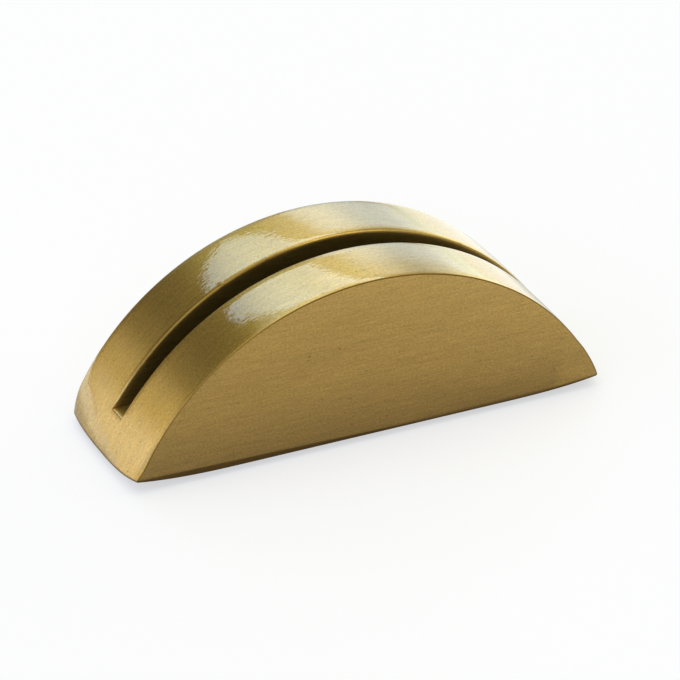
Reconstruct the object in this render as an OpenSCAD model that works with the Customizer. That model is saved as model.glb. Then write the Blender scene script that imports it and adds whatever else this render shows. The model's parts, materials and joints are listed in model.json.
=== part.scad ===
// Half-moon place card holder: a satin brass block with a card slot sawn along its
// arched top, standing on a thin non-slip pad. Every size is in millimetres. X runs
// along the slot, Y through the thickness and Z up from the underside of the pad.

/* [Body] */
// Length of the block from tip to tip, halfway through its thickness
body_l = 60; // [44:0.5:90]
// Height of the arch above the flat underside, halfway through the thickness
body_h = 20.1; // [15:0.1:26]
// Thickness of the block, front face to back face
body_t = 19.3; // [13:0.1:30]
// How much shorter than the middle each end is at the front and back faces
tip_bow = 0.8; // [0.3:0.05:1.5]
// How much lower than the middle the arch is at the front and back faces
top_bow = 0.13; // [0.05:0.01:0.4]
// Radius of the softened edges between the arch and the two faces
edge_r = 0.3; // [0.1:0.05:0.8]

/* [Underside] */
// Length at each end over which the underside curves up towards the tip
ease_l = 9; // [5:0.5:14]
// Height of the tips above the flat of the underside
ease_rise = 0.4; // [0.1:0.05:0.9]

/* [Card slot] */
// Width of the slot that holds the card
slot_w = 3; // [1:0.1:6]
// Height of the slot's flat floor above the underside
slot_floor_h = 4.3; // [2:0.1:9]

/* [Pad] */
// Thickness of the pad
pad_t = 0.8; // [0.4:0.1:2]
// Distance from the pad's long edges in to the front and back faces of the block
pad_inset = 2.5; // [1:0.1:5]
// Distance from the pad's ends to where the underside starts to curve up
pad_end_gap = 1; // [0.2:0.1:3]
// Radius of the pad's corners
pad_corner_r = 2; // [0.5:0.1:3]

/* [Hidden] */
$fn = 180;
// How far a cut or a trimming shape runs past what it trims
overrun = 2;
// Rise of the crown as a share of what just reaches the middle arch's tips
crown_share = 1.5;
brass_colour = [0.70, 0.56, 0.30];
rubber_colour = [0.12, 0.12, 0.12];

// Radius of a circular arc from its half chord and its rise
function arc_radius(half_chord, rise) = (half_chord * half_chord + rise * rise) / (2 * rise);

half_l = body_l / 2;
half_t = body_t / 2;

// The arch halfway through the thickness, from tip to raised tip
middle_r = arc_radius(half_l, body_h - ease_rise);
middle_z = body_h - middle_r;

// The arch as it shows on the two faces, lower and shorter than in the middle
face_half_l = half_l - tip_bow;
face_h = body_h - top_bow;
face_r = arc_radius(face_half_l, face_h - ease_rise);
face_z = face_h - face_r;

// The crown across the thickness is an arc that clears the middle arch at its tips
tip_reach = norm([half_l, ease_rise - face_z]);
crown_rise = (tip_reach - face_r) * crown_share;
crown_r = arc_radius(half_t, crown_rise);
crown_x = face_r + crown_rise - crown_r;
// Centre of the edge rounding, and where it meets the crown
edge_y = half_t - edge_r;
edge_x = crown_x + sqrt(pow(crown_r - edge_r, 2) - pow(edge_y, 2));
edge_meet_y = edge_y * crown_r / (crown_r - edge_r);

// The curve of the underside at each end
ease_start_x = half_l - ease_l;
ease_r = arc_radius(ease_l, ease_rise);

pad_l = 2 * (ease_start_x - pad_end_gap);
pad_w = body_t - 2 * pad_inset;

// Half of the barrel's cross-section: radius along X and thickness along Y
module crowned_half_section() {
    translate([0, -half_t])
        square([edge_x, body_t]);
    for (side = [-1, 1])
        translate([edge_x, side * edge_y])
            circle(r = edge_r);
    intersection() {
        translate([crown_x, 0])
            circle(r = crown_r);
        translate([0, -edge_meet_y])
            square([face_r + crown_rise + overrun, 2 * edge_meet_y]);
    }
}

// Barrel about the centre line of the face arch, lying along the thickness
module crowned_barrel() {
    translate([0, 0, face_z])
        rotate([90, 0, 0])
            rotate_extrude()
                crowned_half_section();
}

// Side view of the block: the middle arch over an underside that curves up at the ends
module side_outline() {
    intersection() {
        translate([0, middle_z])
            circle(r = middle_r);
        union() {
            translate([-ease_start_x, 0])
                square([2 * ease_start_x, body_h + overrun]);
            for (side = [0, 1])
                mirror([side, 0])
                    intersection() {
                        translate([ease_start_x, ease_r])
                            circle(r = ease_r);
                        square([half_l + overrun, body_h + overrun]);
                    }
        }
    }
}

module card_slot() {
    translate([-half_l - overrun, -slot_w / 2, slot_floor_h])
        cube([body_l + 2 * overrun, slot_w, body_h + overrun]);
}

module holder_body() {
    color(brass_colour)
        translate([0, 0, pad_t])
            difference() {
                intersection() {
                    rotate([90, 0, 0])
                        linear_extrude(height = body_t + 2 * overrun, center = true)
                            side_outline();
                    crowned_barrel();
                }
                card_slot();
            }
}

module base_pad() {
    corner_x = pad_l / 2 - pad_corner_r;
    corner_y = pad_w / 2 - pad_corner_r;
    color(rubber_colour)
        linear_extrude(height = pad_t) {
            square([pad_l, 2 * corner_y], center = true);
            square([2 * corner_x, pad_w], center = true);
            for (side_x = [-1, 1], side_y = [-1, 1])
                translate([side_x * corner_x, side_y * corner_y])
                    circle(r = pad_corner_r);
        }
}

holder_body();
base_pad();
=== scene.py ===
import json
import math
import bmesh
import bpy
from mathutils import Matrix, Vector


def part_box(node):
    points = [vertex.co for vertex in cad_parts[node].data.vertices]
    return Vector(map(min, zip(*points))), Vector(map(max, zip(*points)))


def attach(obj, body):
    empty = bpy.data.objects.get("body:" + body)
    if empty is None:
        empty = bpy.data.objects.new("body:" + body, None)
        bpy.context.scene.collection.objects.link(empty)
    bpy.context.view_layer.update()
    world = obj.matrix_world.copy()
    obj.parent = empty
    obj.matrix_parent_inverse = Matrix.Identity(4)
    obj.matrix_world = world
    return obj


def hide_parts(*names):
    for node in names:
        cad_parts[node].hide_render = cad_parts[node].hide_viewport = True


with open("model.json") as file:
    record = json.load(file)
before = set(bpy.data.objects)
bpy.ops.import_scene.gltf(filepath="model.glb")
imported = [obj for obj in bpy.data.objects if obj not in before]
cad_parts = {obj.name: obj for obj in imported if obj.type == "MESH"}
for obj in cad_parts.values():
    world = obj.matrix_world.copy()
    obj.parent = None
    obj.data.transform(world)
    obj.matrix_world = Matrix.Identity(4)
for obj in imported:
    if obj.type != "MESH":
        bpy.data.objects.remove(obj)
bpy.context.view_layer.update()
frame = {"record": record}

# The holder is one solid brass block, shaped like a slice of a round bar lying on its flat side.
# A slot for the card is sawn into its arched top, and a thin rubber pad is stuck underneath.
# Everything is in metres and radians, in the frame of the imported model. An angle along the arch
# counts from the crown, and is negative to the left.

mm = 0.001

# The block and the pad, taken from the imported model
body_low, body_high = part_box("holder_body")
pad_low, pad_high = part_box("base_pad")
half_length = body_high.x
half_thickness = body_high.y
underside_z = body_low.z
arch_top_z = body_high.z
slot_floor_z = next(m["pos_m"][2] for m in frame["record"]["mounts"] if m["name"] == "card_slot")

# The two faces end this much short of the tips, at this height above the underside
tip_bow = 0.7 * mm
tip_rise = 0.3 * mm

# Between the faces the arch is fuller: all along it, in the middle of the strip on each side of the
# slot, and toward the tips
crown = 0.1 * mm
strip_crown = 0.008 * mm
tip_flare = 0.54 * mm
flare_start = math.radians(45)

# This fullness points away from the arch's axis up to one angle, and level beyond the other
outward_until = math.radians(30)
level_from = math.radians(45)

# The front bottom corners curl up slightly, and the left one reaches out a little
left_curl = 0.95 * mm
right_curl = 0.8 * mm
curl_start = 15 * mm
curl_height = 4 * mm
left_toe = 0.4 * mm
right_toe = -0.1 * mm
toe_start = 0.75

# The left tip narrows a little toward the underside on the far side
tip_taper = 1.2 * mm
taper_height = 3.4 * mm
taper_length = 4 * mm

# The saw cut, whose walls draw together toward its ends
slot_near_y = -1.7 * mm
slot_far_y = 1.5 * mm
slot_pinch_near = 0.22 * mm
slot_pinch_far = 0.38 * mm
pinch_width = 2 * mm
pinch_fade = 4 * mm

# Toward the right the arch lies a little lower, from the near face back to the slot's far rim and a
# short way behind it, but not where the slot gets shallow
sink = 0.1 * mm
sink_width = 0.9 * mm
sink_start = math.radians(-30)
sink_full = math.radians(12)
sink_wall = 2 * mm

# Rounded edges
outer_edge = 0.16 * mm
outer_edge_segments = 4
tip_edge = 0.36 * mm
tip_edge_segments = 6
slot_near_edge = 0.06 * mm
slot_far_edge = 0.24 * mm
slot_end_edge = 0.12 * mm
slot_end_segments = 3

# The slot's rims round over fully once the wall is this many edge radii high
full_edge_wall = 5

# Burrs that the saw left on the slot's far rim: place along the arch and height. Each is shaped like
# a bell, and ends this many widths from its middle.
burrs = [(math.radians(-26), 0.06 * mm), (math.radians(-15.5), 0.08 * mm), (math.radians(31), 0.05 * mm)]
burr_length = 0.35 * mm
burr_width = 0.2 * mm
burr_end = 3

# The pad's round corners and softened rims
pad_corner = 2 * mm
pad_corner_segments = 10
pad_rim = 0.12 * mm
pad_rim_segments = 3

# Fineness of the mesh. The arch is left without corners for a short way beside the tips and the
# slot's ends, so that the small edges there have room.
arch_steps = 1440
underside_steps = 60
plain_rows = 9
taper_rows = 6
rim_steps = (0.04, 0.14, 0.3, 0.55, 1.0)
sink_row = 0.65 * sink_width
tip_clear = 1 * mm
slot_end_clear = 0.35 * mm
merge_gap = 0.0005 * mm
level_gap = 10 * merge_gap

# Angles between two mesh faces from which their edge is bevelled or stays sharp
slot_end_angle = math.radians(30)
pad_rim_angle = math.radians(60)
sharp_angle = math.radians(50)

# How squarely a mesh face has to look along an axis, as the part of its normal along that axis
sides_least = 0.8
walls_least = 0.9
flat_least = 0.99
unrounded_least = 0.995
below_least = 0.5

# How far from the block's middle the slot's floor and its walls lie at most, and how near to the
# floor's level a mesh face belongs to it
slot_floor_within = 1.2 * slot_far_y
slot_walls_within = 1.9 * mm
slot_floor_gap = 0.02 * mm

# The slot's far rim gets painted shade, a dark colour with the lacquer left off, standing in for the dark
# it mirrors; less so at its left end and from the crown to the right
rim_shade_width = 0.5 * mm
rim_shade_start = math.radians(-60)
rim_shade_full = math.radians(-47)
rim_shade_level = 1.0
rim_bright_shade_level = 0.3
rim_bright_start = math.radians(-14)
rim_bright_full = math.radians(-4)

# Brush marks and blotches on the brass: how many to a millimetre across and along the grain
fine_marks = (4.5, 0.45)
hair_marks = (11.0, 1.4)
broad_marks = (1.6, 0.12)
cloud_size = (0.22, 0.09)
blotch_size = (1.1, 0.8)
grit_size = (4.5, 3.5)
lacquer_waves = (3.2, 1.7)

# How strongly each of them shows, and the range of each noise that is spread out over all of it
fine_share = 0.5
hair_share = 0.25
broad_share = 0.25
grit_share = 0.5
cloud_share = 0.2
blotch_share = 0.35
hair_height = 0.6
streak_low = 0.35
streak_high = 0.65
noise_low = 0.3
noise_high = 0.7

# Pits: cells to a millimetre, a pit's size within its cell, and its darkness. Only the cells where
# another noise is high have one.
pit_cells = 0.7
pit_inner = 0.04
pit_outer = 0.13
pit_darkness = 0.7
pit_patches = 0.9
pit_rare_start = 0.48
pit_rare_full = 0.62

# Colours of the brass
cloud_colour = (0.40, 0.27, 0.075)
pit_colour = (0.12, 0.07, 0.02)
# The slot's walls: dark colours painted deeper in as the shade of the recess, the brass colour at the rim,
# and the colour of pits
slot_shade_colour = (0.21, 0.15, 0.042)
slot_shade_light = (0.32, 0.235, 0.075)
slot_rim_colour = (0.55, 0.36, 0.10)
slot_pit_colour = (0.05, 0.035, 0.012)

# The rounded edges are painted darker, partly as lacquer build-up and partly as painted shade that they
# mirror, and the slot's far rim as painted shade: their colour, how much of it shows, and how quickly it
# sets in
edge_shade_colour = (0.2, 0.115, 0.025)
edge_share = 0.9
edge_mark = 3

# The slot's walls are brass-coloured at the rim and painted dark below this depth, as the shade of the
# recess
slot_shade_depth = 0.8 * mm
slot_floor_shade_depth = 0.3 * mm

# Painted shade: a dark line along the foot, standing in for the shadow under the block that the lower edge
# mirrors: its colour, and its height in millimetres
painted_foot_shade_colour = (0.09, 0.045, 0.008)
foot_line_height = 0.55

# Painted shade: the faces' colour is darker at their foot, standing in for the shadow in front of the block
# that they mirror, up to this height, but not at their right end
foot_shade = 0.8
shade_top = 9 * mm
shade_right_start = 18 * mm
shade_right_end = 25 * mm

# The surface of the brass and of the lacquer over it
brass_anisotropy = 0.6
rough_swing = 0.012
brush_strength = 0.3
brush_depth = 0.001 * mm
saw_strength = 0.4
saw_depth = 0.004 * mm
saw_roughness = 0.5
lacquer_depth = 0.005 * mm
lacquer_roughness = 0.02
lacquer_ior = 1.9

# The pad's rubber, with its stipple to a metre
rubber_dark = (0.012, 0.012, 0.012)
rubber_light = (0.03, 0.029, 0.027)
rubber_smooth = 0.7
rubber_rough = 0.9
stipple_scale = 5200.0
stipple_low = 0.2
stipple_high = 0.8
stipple_strength = 0.5
stipple_depth = 0.03 * mm


def arc_radius(half_width, rise):
    """Radius of the arc that rises by rise over a chord of twice half_width."""
    return (half_width ** 2 + rise ** 2) / (2 * rise)


face_half = half_length - tip_bow
face_rise = arch_top_z - underside_z - crown - strip_crown
arch_r = arc_radius(face_half, face_rise - tip_rise)
axis_z = underside_z + face_rise - arch_r
face_end_angle = math.acos((underside_z - axis_z) / arch_r)


def new_object(name, bm):
    """Turns a finished bmesh into an object of the scene."""
    mesh = bpy.data.meshes.new(name)
    bm.to_mesh(mesh)
    bm.free()
    made = bpy.data.objects.new(name, mesh)
    bpy.context.scene.collection.objects.link(made)
    return made


def new_piece(name, bm):
    """Turns a finished bmesh into an object that rides with the frame."""
    piece = new_object(name, bm)
    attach(piece, "root")
    return piece


def ramp(value, start, end):
    """A smooth step from 0 at start to 1 at end."""
    share = min(1.0, max(0.0, (value - start) / (end - start)))
    return share * share * (3 - 2 * share)


def rounding(beyond, radius):
    """Drop of a rounded rim of the given radius, beyond its edge."""
    share = 1 - min(1.0, max(0.0, beyond / radius))
    return radius * (1 - math.sqrt(1 - share ** 2))


def arch_angle(x, z):
    """Angle along the arch, from the crown, of a place in the block's side view."""
    return math.atan2(x, z - axis_z)


def near_share(y):
    """0 behind the middle of the block, growing to 1 at the near face."""
    return max(0.0, -y / half_thickness)


def toe(angle, reach, y):
    """How far a front bottom corner reaches out."""
    most = left_toe if angle < 0 else right_toe
    return most * max(0.0, (reach - toe_start) / (1 - toe_start)) ** 2 * near_share(y) ** 2


def rim_drop(angle, y):
    """How far the arch lies lower beside the slot, and rounds over into it."""
    wall = axis_z + arch_r * math.cos(angle) - slot_floor_z
    behind = min(1.0, max(0.0, y - slot_far_y) / sink_width)
    drop = sink * ramp(angle, sink_start, sink_full) * ramp(wall, 0, sink_wall) * (1 - behind) ** 2
    edge = slot_far_edge if y > 0 else slot_near_edge
    beyond = y - slot_far_y if y > 0 else slot_near_y - y
    return drop + rounding(beyond, edge) * ramp(wall, edge, full_edge_wall * edge)


def fullness(angle, y):
    """How far the arch stands out past the face's arc, at an angle and a place across the block."""
    across = min(1.0, abs(y) / half_thickness)
    reach = max(0.0, abs(angle) - flare_start) / (face_end_angle - flare_start)
    bulge = crown * (1 - across ** 4) + tip_flare * reach ** 2 * (1 - across ** 2)
    strip_middle = 0.5 + 0.5 * slot_far_y / half_thickness
    from_middle = (across - strip_middle) / (1 - strip_middle)
    strip_bulge = strip_crown * (1 - min(1.0, from_middle ** 2))
    return bulge + toe(angle, reach, y) + strip_bulge - rim_drop(angle, y)


def curl(x, y):
    """Lift of the underside near the front corners."""
    most = left_curl if x < 0 else right_curl
    along = max(0.0, abs(x) - curl_start) / (half_length - curl_start)
    return most * along ** 3 * near_share(y) ** 3


def taper(point):
    """How far the narrowed left tip draws a point in from the far side."""
    x, y, z = point
    low = max(0.0, 1 - (z - underside_z) / taper_height) ** 1.5
    tip = ramp(-x, half_length - taper_length, half_length)
    return tip_taper * low * tip * max(0.0, y / half_thickness) ** 2


def half_chord(radius, z):
    """Half the width of a circle about the arch's axis, at a height."""
    return math.sqrt(max(merge_gap ** 2, radius ** 2 - (z - axis_z) ** 2))


def shaped(point):
    """Where a point of the straight blank lies on the block with its flared tips and curled corners."""
    x, y, z = point
    angle = arch_angle(x, z)
    out = fullness(angle, y)
    outward = Vector((x + out * math.sin(angle), y, z + out * math.cos(angle)))
    height = z + curl(x, y) * max(0.0, 1 - (z - underside_z) / curl_height)
    level = Vector((x * half_chord(arch_r + out, height) / half_chord(arch_r, z), y, height))
    share = ramp(z - underside_z, 0, curl_height) * (1 - ramp(abs(angle), outward_until, level_from))
    place = level.lerp(outward, share)
    place.y -= taper(point)
    return place


def everything(bm):
    """All of a bmesh, as its operators take it."""
    return bm.verts[:] + bm.edges[:] + bm.faces[:]


def with_edges(faces):
    """Some faces with their edges and corners, each once and always in the same order."""
    edges = dict.fromkeys(edge for face in faces for edge in face.edges)
    corners = dict.fromkeys(vert for face in faces for vert in face.verts)
    return faces + list(edges) + list(corners)


def width_across(edge):
    """How far an edge runs across the block."""
    return abs((edge.verts[0].co - edge.verts[1].co).y)


def divide(bm, geom, place, across):
    """Cuts new edges into geom where a plane through place passes it."""
    bmesh.ops.bisect_plane(bm, geom=geom, dist=merge_gap, plane_co=place, plane_no=across)


def crowded(vert):
    """Whether a corner of the outline is in the way of the small edges at a tip or a slot end."""
    from_tip = (face_end_angle - abs(arch_angle(vert.co.x, vert.co.z))) * arch_r
    return 4 * merge_gap < from_tip < tip_clear or abs(vert.co.z - slot_floor_z) < slot_end_clear


def face_outline(bm):
    """One face of the block: a disc cut off at the underside, with slightly rounded tips."""
    upright = Matrix.Translation((0, -half_thickness, axis_z)) @ Matrix.Rotation(math.radians(90), 4, "X")
    bmesh.ops.create_circle(bm, cap_ends=True, segments=arch_steps, radius=arch_r, matrix=upright)
    bmesh.ops.bisect_plane(
        bm, geom=everything(bm), dist=merge_gap, plane_co=(0, 0, underside_z), plane_no=(0, 0, -1),
        clear_outer=True,
    )
    bmesh.ops.dissolve_verts(bm, verts=[v for v in bm.verts if crowded(v)])
    tips = [v for v in bm.verts if abs(v.co.z - underside_z) < merge_gap]
    bmesh.ops.bevel(
        bm, geom=tips, offset=tip_edge, affect="VERTICES", segments=tip_edge_segments, profile=0.5,
        material=-1, clamp_overlap=False,
    )


def rows_across():
    """Places across the block where the mesh is divided along its length."""
    rows = [slot_near_y, slot_far_y, slot_far_y + sink_row]
    rows += [slot_far_y + slot_far_edge * step for step in rim_steps]
    rows += [slot_near_y - slot_near_edge * step for step in rim_steps]
    for step in range(1, plain_rows):
        rows.append(slot_far_y + (half_thickness - slot_far_y) * step / plain_rows)
        rows.append(slot_near_y - (half_thickness + slot_near_y) * step / plain_rows)
    return rows


def divide_underside(bm):
    """Divides the underside across its length, so that it can curl up."""
    top = underside_z + outer_edge + merge_gap
    for step in range(1, underside_steps):
        flat = [f for f in bm.faces if all(v.co.z < top for v in f.verts)]
        x = face_half * (2 * step / underside_steps - 1)
        divide(bm, with_edges(flat), (x, 0, 0), (1, 0, 0))


def divide_far_face(bm, place, across):
    """Divides the far face alone."""
    flat = [f for f in bm.faces if all(abs(v.co.y - half_thickness) < merge_gap for v in f.verts)]
    divide(bm, with_edges(flat), place, across)


def block_blank(bm):
    """The face drawn out to the full thickness, its two outlines rounded, then divided into rows."""
    face_outline(bm)
    drawn = bmesh.ops.extrude_face_region(bm, geom=bm.faces[:])
    moved = [g for g in drawn["geom"] if isinstance(g, bmesh.types.BMVert)]
    bmesh.ops.translate(bm, verts=moved, vec=(0, 2 * half_thickness, 0))
    outlines = [e for e in bm.edges if width_across(e) <= merge_gap]
    bmesh.ops.bevel(
        bm, geom=outlines, offset=outer_edge, affect="EDGES", segments=outer_edge_segments, profile=0.5,
        material=-1, clamp_overlap=False,
    )
    for y in rows_across():
        divide(bm, everything(bm), (0, y, 0), (0, 1, 0))
    divide_underside(bm)
    for step in range(1, taper_rows + 1):
        z = underside_z + outer_edge + (taper_height - outer_edge) * step / taper_rows
        divide_far_face(bm, (0, 0, z), (0, 0, 1))
    for step in range(1, taper_rows + 1):
        divide_far_face(bm, (taper_length * step / taper_rows - face_half, 0, 0), (1, 0, 0))


def over_slot(face):
    """Whether a mesh face of the arch lies between the slot's two rims."""
    centre = face.calc_center_median()
    return slot_near_y < centre.y < slot_far_y and centre.z > underside_z + tip_rise


def at_slot_floor(place):
    """Whether a place lies at the level of the slot's floor, between its walls."""
    return abs(place.z - slot_floor_z) < level_gap and abs(place.y) < slot_floor_within


def open_edges(bm):
    """The short edges along a hole's rim."""
    return [e for e in bm.edges if e.is_boundary and width_across(e) < slot_far_y]


def saw_slot(bm):
    """Opens the arch between the slot's two rims, down to its floor, and tells how far its ends reach."""
    strip = [f for f in bm.faces if over_slot(f)]
    divide(bm, with_edges(strip), (0, 0, slot_floor_z), (0, 0, 1))
    opened = [f for f in bm.faces if over_slot(f) and f.calc_center_median().z > slot_floor_z]
    bmesh.ops.delete(bm, geom=opened, context="FACES")
    walls = bmesh.ops.extrude_edge_only(bm, edges=open_edges(bm))
    for lowered in walls["geom"]:
        if isinstance(lowered, bmesh.types.BMVert):
            lowered.co.z = slot_floor_z
    bmesh.ops.remove_doubles(bm, verts=bm.verts[:], dist=merge_gap)
    bmesh.ops.bridge_loops(bm, edges=open_edges(bm))
    return max(v.co.x for v in bm.verts if at_slot_floor(v.co))


def pinch_slot(bm, reach):
    """Draws the slot's two rims together toward its ends."""
    for vert in bm.verts:
        x, y, _ = vert.co
        along = abs(x) / reach
        share = along ** 2 if along < 1 else max(0.0, 1 - (abs(x) - reach) / pinch_fade)
        beyond = max(0.0, y - slot_far_y, slot_near_y - y)
        share *= max(0.0, 1 - beyond / pinch_width)
        vert.co.y += (slot_pinch_near if y < 0 else -slot_pinch_far) * share


def is_slot_end(edge):
    """Whether an edge is where the slot's floor runs out through the arch."""
    return all(at_slot_floor(v.co) for v in edge.verts) and width_across(edge) > slot_far_y


def soften_slot_ends(bm):
    """Bevels the edges where the slot's floor meets the arch."""
    bm.normal_update()
    ends = [e for e in bm.edges if is_slot_end(e) and e.calc_face_angle() > slot_end_angle]
    bmesh.ops.bevel(
        bm, geom=ends, offset=slot_end_edge, affect="EDGES", segments=slot_end_segments, profile=0.5,
        material=-1, clamp_overlap=False,
    )


def raise_burrs(bm):
    """Lifts small ragged lips on the slot's far rim."""
    for place, height in burrs:
        for vert in bm.verts:
            x, y, z = vert.co
            along = (arch_angle(x, z) - place) * arch_r / burr_length
            across = (y - slot_far_y) / burr_width
            on_arch = math.hypot(x, z - axis_z) > arch_r - slot_far_edge - sink
            if on_arch and abs(along) < burr_end and abs(across) < burr_end:
                lift = height * math.exp(-along ** 2 - across ** 2)
                vert.co.x += lift * math.sin(place)
                vert.co.z += lift * math.cos(place)


def rim_shade(point):
    """How much painted shade the slot's far rim gets at a point of the straight blank."""
    x, y, z = point
    if y < slot_far_y - merge_gap:
        return 0.0
    angle = arch_angle(x, z)
    brighter = ramp(angle, rim_bright_start, rim_bright_full)
    most = rim_shade_level + (rim_bright_shade_level - rim_shade_level) * brighter
    most *= ramp(angle, rim_shade_start, rim_shade_full)
    near_rim = 1 - min(1.0, (y - slot_far_y) / rim_shade_width) ** 2
    return most * near_rim * ramp(z - slot_floor_z, slot_far_edge, full_edge_wall * slot_far_edge)


def mark_edges(bm):
    """Notes at each corner of the blank how dark its edge is painted, as lacquer build-up and painted
    shade, and its height in millimetres.
    """
    wear_and_edge_shade = bm.loops.layers.float.new("edge")
    above = bm.loops.layers.float.new("above_foot")
    bm.normal_update()
    flat = half_thickness - outer_edge
    for face in bm.faces:
        for loop in face.loops:
            loop[above] = (loop.vert.co.z - underside_z) / mm
            loop[wear_and_edge_shade] = rim_shade(loop.vert.co)
        outside = all(abs(v.co.y) > flat - merge_gap for v in face.verts)
        if not outside or abs(face.normal.y) > unrounded_least:
            continue
        for loop in face.loops:
            turned = min(1.0, max(0.0, (abs(loop.vert.co.y) - flat) / outer_edge))
            loop[wear_and_edge_shade] = min(1.0, edge_mark * turned * math.sqrt(1 - turned ** 2))


def on_slot_floor(face):
    """Whether a mesh face is part of the slot's floor."""
    return face.normal.z > flat_least and at_slot_floor(face.calc_center_median())


def lay_grain(bm):
    """A UV map in millimetres: the first way runs across the brushing, the second along it."""
    layer = bm.loops.layers.uv.new("grain")
    bm.normal_update()
    for face in bm.faces:
        upright = abs(face.normal.y) > sides_least
        level = face.normal.z < -below_least or on_slot_floor(face)
        for loop in face.loops:
            x, y, z = loop.vert.co
            if upright:
                loop[layer].uv = (z / mm, x / mm)
            elif level:
                loop[layer].uv = (y / mm, x / mm)
            else:
                loop[layer].uv = (y / mm, arch_r * arch_angle(x, z) / mm)


def make_block():
    """The brass block, from its straight blank to its finished mesh."""
    bm = bmesh.new()
    block_blank(bm)
    mark_edges(bm)
    for vert in bm.verts:
        vert.co = shaped(vert.co)
    pinch_slot(bm, saw_slot(bm))
    bmesh.ops.recalc_face_normals(bm, faces=bm.faces[:])
    soften_slot_ends(bm)
    raise_burrs(bm)
    bmesh.ops.recalc_face_normals(bm, faces=bm.faces[:])
    lay_grain(bm)
    for face in bm.faces:
        face.smooth = True
    for edge in bm.edges:
        edge.smooth = edge.calc_face_angle() < sharp_angle
    block = new_piece("brass_block", bm)
    block.modifiers.new("flat_faces", "WEIGHTED_NORMAL").keep_sharp = True
    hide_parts("holder_body")
    return block


def make_pad():
    """A thin rubber pad with round corners and softened rims."""
    size = pad_high - pad_low
    centre = (pad_high + pad_low) / 2
    bm = bmesh.new()
    place = Matrix.Translation(centre) @ Matrix.Diagonal((size.x, size.y, size.z, 1))
    bmesh.ops.create_cube(bm, size=1, matrix=place)
    posts = [e for e in bm.edges if abs((e.verts[0].co - e.verts[1].co).z) > size.z / 2]
    bmesh.ops.bevel(
        bm, geom=posts, offset=pad_corner, affect="EDGES", segments=pad_corner_segments, profile=0.5,
        material=-1,
    )
    bm.normal_update()
    rims = [e for e in bm.edges if e.calc_face_angle() > pad_rim_angle]
    bmesh.ops.bevel(
        bm, geom=rims, offset=pad_rim, affect="EDGES", segments=pad_rim_segments, profile=0.5, material=-1
    )
    for face in bm.faces:
        face.smooth = True
    pad = new_piece("rubber_pad", bm)
    pad.modifiers.new("flat_faces", "WEIGHTED_NORMAL")
    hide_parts("base_pad")
    return pad


# Helpers for shader nodes


def feed(tree, socket, value):
    """Links a socket to where its value comes from, or sets it to a plain value."""
    if isinstance(value, bpy.types.NodeSocket):
        tree.links.new(value, socket)
    elif socket.type == "RGBA":
        socket.default_value = (*value, 1)
    else:
        socket.default_value = value


def math_node(tree, operation, *values):
    """One maths step on sockets or numbers."""
    node = tree.nodes.new("ShaderNodeMath")
    node.operation = operation
    for socket, value in zip(node.inputs, values):
        feed(tree, socket, value)
    return node.outputs[0]


def vector_node(tree, operation, *values):
    """One maths step on vectors; the length and the dot product come out as numbers."""
    node = tree.nodes.new("ShaderNodeVectorMath")
    node.operation = operation
    for socket, value in zip(node.inputs, values):
        feed(tree, socket, value)
    return node.outputs["Value" if operation in ("LENGTH", "DOT_PRODUCT") else "Vector"]


def scaled(tree, vector, share):
    """A vector or colour times a number."""
    node = tree.nodes.new("ShaderNodeVectorMath")
    node.operation = "SCALE"
    feed(tree, node.inputs[0], vector)
    feed(tree, node.inputs["Scale"], share)
    return node.outputs["Vector"]


def fade(tree, value, low, high, to_low=0.0, to_high=1.0):
    """A soft step from to_low to to_high as value goes from low to high."""
    node = tree.nodes.new("ShaderNodeMapRange")
    node.interpolation_type = "SMOOTHSTEP"
    feed(tree, node.inputs["Value"], value)
    feed(tree, node.inputs["From Min"], low)
    feed(tree, node.inputs["From Max"], high)
    feed(tree, node.inputs["To Min"], to_low)
    feed(tree, node.inputs["To Max"], to_high)
    return node.outputs["Result"]


def noise(tree, vector, scale, detail, rough=0.5):
    """Soft random spots, from 0 to 1."""
    node = tree.nodes.new("ShaderNodeTexNoise")
    feed(tree, node.inputs["Vector"], vector)
    feed(tree, node.inputs["Scale"], scale)
    feed(tree, node.inputs["Detail"], detail)
    feed(tree, node.inputs["Roughness"], rough)
    return node.outputs["Fac"]


def stretched(tree, way, size):
    """The grain's two ways, each times its own number."""
    return vector_node(tree, "MULTIPLY", way, (*size, 1.0))


def drawn_noise(tree, way, size, detail, rough=0.5):
    """Noise with its own number of spots to a millimetre across and along the grain."""
    return noise(tree, stretched(tree, way, size), 1.0, detail, rough)


def contrasty(tree, value):
    """The middle of a noise's range, spread out to the whole range."""
    return fade(tree, value, noise_low, noise_high)


def blend_colour(tree, share, first, second):
    """The first colour, turning into the second as share goes from 0 to 1."""
    node = tree.nodes.new("ShaderNodeMix")
    node.data_type = "RGBA"
    node.clamp_factor = True
    feed(tree, node.inputs[0], share)
    feed(tree, node.inputs[6], first)
    feed(tree, node.inputs[7], second)
    return node.outputs[2]


def bump(tree, height, strength, distance):
    """A normal that follows small heights."""
    node = tree.nodes.new("ShaderNodeBump")
    feed(tree, node.inputs["Height"], height)
    feed(tree, node.inputs["Strength"], strength)
    feed(tree, node.inputs["Distance"], distance)
    return node.outputs["Normal"]


def grain_way(tree):
    """The UV map that follows the brushing."""
    way = tree.nodes.new("ShaderNodeUVMap")
    way.uv_map = "grain"
    return way.outputs["UV"]


def object_way(tree):
    """The place on the object, in metres."""
    return tree.nodes.new("ShaderNodeTexCoord").outputs["Object"]


def noted(tree, name):
    """A value that the mesh carries."""
    node = tree.nodes.new("ShaderNodeAttribute")
    node.attribute_name = name
    return node.outputs["Fac"]


def new_material(name):
    """A material, its nodes and its main shader."""
    material = bpy.data.materials.new(name)
    material.use_nodes = True
    return material, material.node_tree, material.node_tree.nodes["Principled BSDF"]


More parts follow.
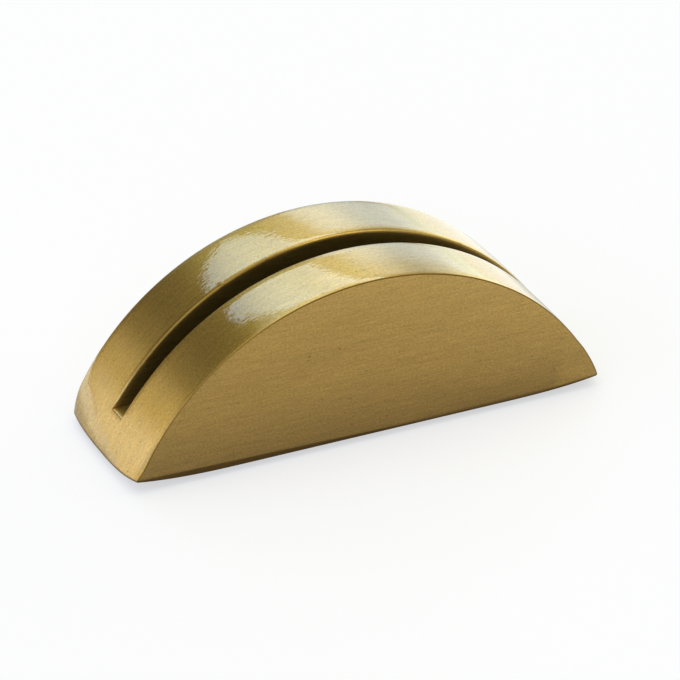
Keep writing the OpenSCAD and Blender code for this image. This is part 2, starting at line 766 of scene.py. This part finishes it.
def new_group(name, outputs):
    """An empty node group that takes a Vector and gives the named values."""
    tree = bpy.data.node_groups.new(name, "ShaderNodeTree")
    tree.interface.new_socket(name="Vector", in_out="INPUT", socket_type="NodeSocketVector")
    for label in outputs:
        tree.interface.new_socket(name=label, in_out="OUTPUT", socket_type="NodeSocketFloat")
    given = tree.nodes.new("NodeGroupInput").outputs["Vector"]
    return tree, given, tree.nodes.new("NodeGroupOutput")


def place_group(tree, made, vector):
    """A node group put to use on a vector; the outputs are read by name."""
    node = tree.nodes.new("ShaderNodeGroup")
    node.node_tree = made
    feed(tree, node.inputs["Vector"], vector)
    return node.outputs


# Effects that the brass materials share


def grain_group():
    """Brush marks: long fine streaks, from 0 to 1, and their height."""
    tree, way, out = new_group("brush marks", ("Streaks", "Height"))
    fine = drawn_noise(tree, way, fine_marks, detail=3, rough=0.6)
    hair = drawn_noise(tree, way, hair_marks, detail=2, rough=0.6)
    broad = drawn_noise(tree, way, broad_marks, detail=3, rough=0.55)
    streaks = math_node(tree, "MULTIPLY", fine, fine_share)
    streaks = math_node(tree, "MULTIPLY_ADD", hair, hair_share, streaks)
    streaks = math_node(tree, "MULTIPLY_ADD", broad, broad_share, streaks)
    feed(tree, out.inputs["Streaks"], fade(tree, streaks, streak_low, streak_high))
    feed(tree, out.inputs["Height"], math_node(tree, "MULTIPLY_ADD", hair, hair_height, fine))
    return tree


def pits_group():
    """Tiny dark pits, sparse, as a mask."""
    tree, way, out = new_group("pits", ("Mask",))
    cells = tree.nodes.new("ShaderNodeTexVoronoi")
    feed(tree, cells.inputs["Scale"], pit_cells)
    feed(tree, cells.inputs["Vector"], way)
    small = fade(tree, cells.outputs["Distance"], pit_inner, pit_outer, pit_darkness, 0.0)
    rare = fade(tree, noise(tree, way, pit_patches, detail=1), pit_rare_start, pit_rare_full)
    feed(tree, out.inputs["Mask"], math_node(tree, "MULTIPLY", small, rare))
    return tree


# Materials


def brushed_tone(tree, way, streaks, deep, bright, mottle):
    """The colour of brushed brass: streaks and grit between two colours, with faint clouds and blotches."""
    cloud = contrasty(tree, drawn_noise(tree, way, cloud_size, detail=3))
    blotch = contrasty(tree, drawn_noise(tree, way, blotch_size, detail=2))
    grit = contrasty(tree, drawn_noise(tree, way, grit_size, detail=2))
    marked = math_node(tree, "MULTIPLY", streaks, 1 - grit_share)
    light = math_node(tree, "MULTIPLY_ADD", grit, grit_share, marked)
    tone = blend_colour(tree, light, deep, bright)
    tone = blend_colour(tree, math_node(tree, "MULTIPLY", cloud, cloud_share), tone, cloud_colour)
    return blend_colour(tree, math_node(tree, "MULTIPLY", blotch, blotch_share), tone, mottle)


def shade_low(tree, foot_shade_level):
    """A factor of painted shade that falls to the given level at the foot of a face, except at its right
    end.
    """
    split = tree.nodes.new("ShaderNodeSeparateXYZ")
    feed(tree, split.inputs[0], object_way(tree))
    rising = fade(tree, split.outputs["Z"], underside_z, shade_top, foot_shade_level, 1.0)
    right = fade(tree, split.outputs["X"], shade_right_start, shade_right_end)
    return math_node(tree, "MAXIMUM", rising, right)


def brush_surface(tree, shader, brushed, rough):
    """The brushed metal's gloss, drawn out across the grain."""
    wear_and_edge_shade = fade(tree, brushed["Streaks"], 0.0, 1.0, rough + rough_swing, rough - rough_swing)
    feed(tree, shader.inputs["Roughness"], wear_and_edge_shade)
    feed(tree, shader.inputs["Metallic"], 1.0)
    feed(tree, shader.inputs["Anisotropic"], brass_anisotropy)
    across = tree.nodes.new("ShaderNodeTangent")
    across.direction_type = "UV_MAP"
    across.uv_map = "grain"
    feed(tree, shader.inputs["Tangent"], across.outputs["Tangent"])
    feed(tree, shader.inputs["Normal"], bump(tree, brushed["Height"], brush_strength, brush_depth))


def lacquer(tree, shader, way, painted_dark, weight):
    """A clear coat, slightly wavy, that is left off where the edges and the foot are painted dark."""
    feed(tree, shader.inputs["Coat Weight"], math_node(tree, "MULTIPLY_ADD", painted_dark, -weight, weight))
    feed(tree, shader.inputs["Coat Roughness"], lacquer_roughness)
    feed(tree, shader.inputs["Coat IOR"], lacquer_ior)
    waves = drawn_noise(tree, way, lacquer_waves, detail=0)
    feed(tree, shader.inputs["Coat Normal"], bump(tree, waves, 1.0, lacquer_depth))


def brass_material(name, marks, pits, fineness, rough, coat, deep, bright, mottle, foot_shade_level=1.0):
    """Lacquered brass with brush marks, a few pits, edges painted darker as lacquer build-up and painted
    shade, a dark line of painted shade along the foot, and, given a foot level, painted shade toward the
    foot.
    """
    material, tree, shader = new_material(name)
    way = grain_way(tree)
    brushed = place_group(tree, marks, stretched(tree, way, fineness))
    pitted = place_group(tree, pits, way)["Mask"]
    # How dark the edges are painted: lacquer build-up and painted shade on the rounded edges, painted shade
    # on the slot's far rim
    edge = noted(tree, "edge")
    # Painted shade: a dark line along the foot
    painted_foot_shade = fade(tree, noted(tree, "above_foot"), 0.0, foot_line_height, 1.0, 0.0)
    tone = brushed_tone(tree, way, brushed["Streaks"], deep, bright, mottle)
    tone = blend_colour(tree, pitted, tone, pit_colour)
    tone = blend_colour(tree, math_node(tree, "MULTIPLY", edge, edge_share), tone, edge_shade_colour)
    tone = blend_colour(tree, painted_foot_shade, tone, painted_foot_shade_colour)
    # Painted shade toward the foot of the faces
    if foot_shade_level < 1.0:
        tone = scaled(tree, tone, shade_low(tree, foot_shade_level))
    feed(tree, shader.inputs["Base Color"], tone)
    brush_surface(tree, shader, brushed, rough)
    lacquer(tree, shader, way, math_node(tree, "MAXIMUM", edge, painted_foot_shade), coat)
    return material


def slot_material(name, marks, pits, shade_depth):
    """Sawn walls: brass colour close under the rim, painted dark and dull further in as the shade of the
    recess.
    """
    material, tree, shader = new_material(name)
    brushed = place_group(tree, marks, grain_way(tree))
    pitted = place_group(tree, pits, grain_way(tree))["Mask"]
    from_axis = vector_node(tree, "SUBTRACT", object_way(tree), (0, 0, axis_z))
    from_axis = vector_node(tree, "LENGTH", vector_node(tree, "MULTIPLY", from_axis, (1, 0, 1)))
    rim = arch_r + crown
    # Painted shade: the walls turn dark from this depth below the rim
    out_of_shade = fade(tree, from_axis, rim - shade_depth, rim)
    deep = blend_colour(tree, brushed["Streaks"], slot_shade_colour, slot_shade_light)
    tone = blend_colour(tree, out_of_shade, deep, slot_rim_colour)
    feed(tree, shader.inputs["Base Color"], blend_colour(tree, pitted, tone, slot_pit_colour))
    feed(tree, shader.inputs["Metallic"], 1.0)
    feed(tree, shader.inputs["Roughness"], saw_roughness)
    feed(tree, shader.inputs["Normal"], bump(tree, brushed["Height"], saw_strength, saw_depth))
    return material


def rubber_material(name):
    """Matt black rubber with a fine stipple."""
    material, tree, shader = new_material(name)
    stipple = noise(tree, object_way(tree), stipple_scale, detail=3)
    dulled = fade(tree, stipple, stipple_low, stipple_high, rubber_smooth, rubber_rough)
    feed(tree, shader.inputs["Base Color"], blend_colour(tree, stipple, rubber_dark, rubber_light))
    feed(tree, shader.inputs["Roughness"], dulled)
    feed(tree, shader.inputs["Normal"], bump(tree, stipple, stipple_strength, stipple_depth))
    return material


def finish_of(poly):
    """Which of the block's finishes a face of its mesh takes."""
    inside = abs(poly.center.y) < slot_walls_within and poly.center.z > slot_floor_z - merge_gap
    sideways = abs(poly.normal.y) > walls_least
    if inside and sideways:
        return "slot"
    if inside and abs(poly.center.z - slot_floor_z) < slot_floor_gap and poly.normal.z > walls_least:
        return "slot_floor"
    return "faces" if sideways else "arch"


def finish_block(block):
    """Makes the block's four materials and gives each face of its mesh the right one."""
    marks = grain_group()
    pits = pits_group()
    arch = brass_material(
        "brass_arch", marks, pits, fineness=(1.1, 1.3), rough=0.3, coat=1.0,
        deep=(0.31, 0.192, 0.028), bright=(0.82, 0.543, 0.115), mottle=(0.58, 0.36, 0.07),
    )
    faces = brass_material(
        "brass_faces", marks, pits, fineness=(1.4, 0.8), rough=0.4, coat=0.4,
        deep=(0.38, 0.229, 0.043), bright=(0.74, 0.463, 0.112), mottle=(0.585, 0.341, 0.08),
        foot_shade_level=foot_shade,
    )
    slot = slot_material("brass_slot", marks, pits, slot_shade_depth)
    slot_floor = slot_material("brass_slot_floor", marks, pits, slot_floor_shade_depth)
    finishes = {"arch": arch, "faces": faces, "slot": slot, "slot_floor": slot_floor}
    for material in finishes.values():
        block.data.materials.append(material)
    names = list(finishes)
    for poly in block.data.polygons:
        poly.material_index = names.index(finish_of(poly))


# The floor: its paper's colour, what share of it the camera sees, and how bright its own glow is to
# the camera and in the brass. In the brass the glow fades near the object, a painted shadow there.
floor_half = 4.0
floor_colour = (0.56, 0.566, 0.70)
floor_seen_share = 0.66
floor_glow = 0.6
floor_mirror_glow = 0.56
floor_mirror_colour = (0.94, 1.0, 0.95)
floor_shade_start = 36 * mm
floor_shade_end = 64 * mm

# Behind the right end, at this azimuth in degrees, the brass mirrors a little more of its glow
floor_bright_azimuth = 37
floor_bright_glow = 0.1
floor_bright_start = 20 * mm
floor_bright_end = 40 * mm

# The photograph's camera, as seen from what it aims at: azimuth, elevation and roll in degrees. Its
# sensor and lens are in millimetres.
camera_azimuth = 206.23
camera_elevation = 29.38
camera_roll = 0.82
camera_distance = 495.9 * mm
camera_aim = Vector((0.26, 0, 8.0)) * mm
camera_sensor = 36
camera_lens = 228.8
camera_clip_start = 0.01
camera_clip_end = 20

# Colours of the room's lights
white = (1.0, 1.0, 1.0)
cool = (0.65, 0.85, 1.0)
sky = (0.42, 0.66, 0.95)
ice = (0.48, 0.88, 1.0)
pale_blue = (0.75, 0.85, 1.0)
cream = (1.0, 0.98, 0.58)
warm = (1.0, 0.84, 0.4)
mint = (0.9, 1.0, 0.95)
pale_gold = (1.0, 0.96, 0.78)
room_colour = (1.0, 0.85, 0.5)
room_level = 0.15

# The window and the panel beside it: azimuth and elevation of their corners in degrees, how soft
# their borders are, and how bright they are
window_corners = [
    (-17.5, 34.2), (-8, 34.0), (1, 33.0), (8, 33.7), (26, 34.4),
    (36, 38), (34, 44), (4, 44), (-5, 41), (-14, 36.9),
]
window_softness = 0.004
window_level = 1.85
panel_corners = [(22, 4), (42, 4), (38, 14), (32.5, 23.5), (27, 28.8), (22, 30), (18, 26)]
panel_softness = 0.034
panel_level = 1.05

# Soft lights of the room: azimuth, elevation, how far from there it starts to fade and is gone, all
# in degrees, then its colour and its level
glows = {
    "overhead": (0, 88, 10, 45, cream, 1.2),
    "left": (-75, 10, 8, 35, white, 0.75),
    "high left": (-100, 45, 10, 40, pale_blue, 1.0),
    "front left": (-140, 30, 15, 50, pale_blue, 0.85),
    "low back left": (-43, -2, 4, 16, white, 0.7),
    "back left": (-40, 10, 3, 14, warm, 0.65),
    "upper back left": (-35, 19, 3, 12, warm, 0.16),
    "low behind": (5, 15, 5, 20, cool, 0.3),
    "over the window": (0, 52, 5, 18, cool, 0.8),
    "right of the window": (35, 52, 8, 25, warm, 0.32),
    "gold": (25, 30, 4, 14, pale_gold, 0.55),
    "back right": (33, 22, 2, 14, mint, 0.58),
    "lower back right": (37, 12, 2, 12, cool, 0.08),
    "low back right": (42, -6, 3, 13, ice, 1.06),
    "far right": (52, 3, 6, 22, mint, 0.65),
    "right": (65, 8, 8, 30, cream, 1.25),
    "high right": (100, 45, 10, 40, cream, 0.85),
}


def heading(azimuth, elevation):
    """Unit vector; azimuth is from +Y towards +X, in degrees."""
    a, e = math.radians(azimuth), math.radians(elevation)
    return Vector((math.sin(a) * math.cos(e), math.cos(a) * math.cos(e), math.sin(e)))


def floor_paper(tree, seen):
    """The floor's matt paper, darker to the camera, so that the shadow on it stays faint."""
    paper = tree.nodes.new("ShaderNodeBsdfDiffuse")
    seen_colour = tuple(c * floor_seen_share for c in floor_colour)
    feed(tree, paper.inputs["Color"], blend_colour(tree, seen, floor_colour, seen_colour))
    return paper.outputs[0]


def floor_light(tree, seen, mirrored):
    """The floor's glow, even to the camera, and in the brass only away from the object, leaving a painted
    shadow near it.
    """
    clear = fade(tree, vector_node(tree, "LENGTH", object_way(tree)), floor_shade_start, floor_shade_end)
    aside = vector_node(tree, "DOT_PRODUCT", object_way(tree), heading(floor_bright_azimuth, 0))
    bright = fade(tree, aside, floor_bright_start, floor_bright_end, 0.0, floor_bright_glow)
    in_brass = math_node(tree, "ADD", math_node(tree, "MULTIPLY", clear, floor_mirror_glow), bright)
    in_brass = math_node(tree, "MULTIPLY", mirrored, in_brass)
    to_camera = math_node(tree, "MULTIPLY", seen, floor_glow)
    glow = tree.nodes.new("ShaderNodeEmission")
    feed(tree, glow.inputs["Color"], blend_colour(tree, seen, floor_mirror_colour, white))
    feed(tree, glow.inputs["Strength"], math_node(tree, "MAXIMUM", to_camera, in_brass))
    return glow.outputs[0]


def make_floor():
    """A wide pale floor that keeps the object's shadow."""
    bm = bmesh.new()
    bmesh.ops.create_grid(bm, x_segments=1, y_segments=1, size=floor_half)
    floor = new_object("floor", bm)
    material = bpy.data.materials.new("floor_white")
    material.use_nodes = True
    tree = material.node_tree
    tree.nodes.clear()
    path = tree.nodes.new("ShaderNodeLightPath").outputs
    both = tree.nodes.new("ShaderNodeAddShader")
    feed(tree, both.inputs[0], floor_paper(tree, path["Is Camera Ray"]))
    feed(tree, both.inputs[1], floor_light(tree, path["Is Camera Ray"], path["Is Glossy Ray"]))
    out = tree.nodes.new("ShaderNodeOutputMaterial")
    feed(tree, out.inputs["Surface"], both.outputs[0])
    floor.data.materials.append(material)


def near_heading(tree, direction, azimuth, elevation, full, gone):
    """1 within full degrees of a heading, 0 beyond gone degrees."""
    dot = vector_node(tree, "DOT_PRODUCT", direction, heading(azimuth, elevation))
    return fade(tree, dot, math.cos(math.radians(gone)), math.cos(math.radians(full)))


def within(tree, direction, corners, softness):
    """1 inside the patch of sky between the given headings, taken anticlockwise as seen from inside."""
    inside = 1.0
    for first, second in zip(corners, corners[1:] + corners[:1]):
        border = heading(*second).cross(heading(*first)).normalized()
        step = fade(tree, vector_node(tree, "DOT_PRODUCT", direction, border), -softness, softness)
        inside = math_node(tree, "MULTIPLY", inside, step)
    return inside


def add_light(tree, total, mask, colour, level):
    """Adds one light of the room, its colour times its level where its mask shows."""
    return vector_node(tree, "ADD", total, scaled(tree, [c * level for c in colour], mask))


def make_world():
    """A dim room with soft glows in it, a long window of light behind the object and a panel beside it."""
    world = bpy.data.worlds.new("studio")
    bpy.context.scene.world = world
    world.use_nodes = True
    tree = world.node_tree
    direction = tree.nodes.new("ShaderNodeTexCoord").outputs["Generated"]
    total = [c * room_level for c in room_colour]
    for azimuth, elevation, full, gone, colour, level in glows.values():
        mask = near_heading(tree, direction, azimuth, elevation, full, gone)
        total = add_light(tree, total, mask, colour, level)
    window = within(tree, direction, window_corners, window_softness)
    total = add_light(tree, total, window, cool, window_level)
    panel = within(tree, direction, panel_corners, panel_softness)
    total = add_light(tree, total, panel, sky, panel_level)
    feed(tree, tree.nodes["Background"].inputs["Color"], total)


def make_camera():
    """The photograph's camera, looking down at the block from its front left."""
    data = bpy.data.cameras.new("camera")
    data.sensor_width = camera_sensor
    data.lens = camera_lens
    data.clip_start = camera_clip_start
    data.clip_end = camera_clip_end
    camera = bpy.data.objects.new("camera", data)
    back = heading(camera_azimuth, camera_elevation)
    camera.location = camera_aim + back * camera_distance
    camera.rotation_mode = "QUATERNION"
    roll = Matrix.Rotation(math.radians(camera_roll), 4, "Z").to_quaternion()
    camera.rotation_quaternion = back.to_track_quat("Z", "Y") @ roll
    bpy.context.scene.collection.objects.link(camera)
    bpy.context.scene.camera = camera


bpy.context.scene.view_settings.view_transform = "Standard"
make_camera()
make_world()
make_floor()
finish_block(make_block())
make_pad().data.materials.append(rubber_material("pad_rubber"))
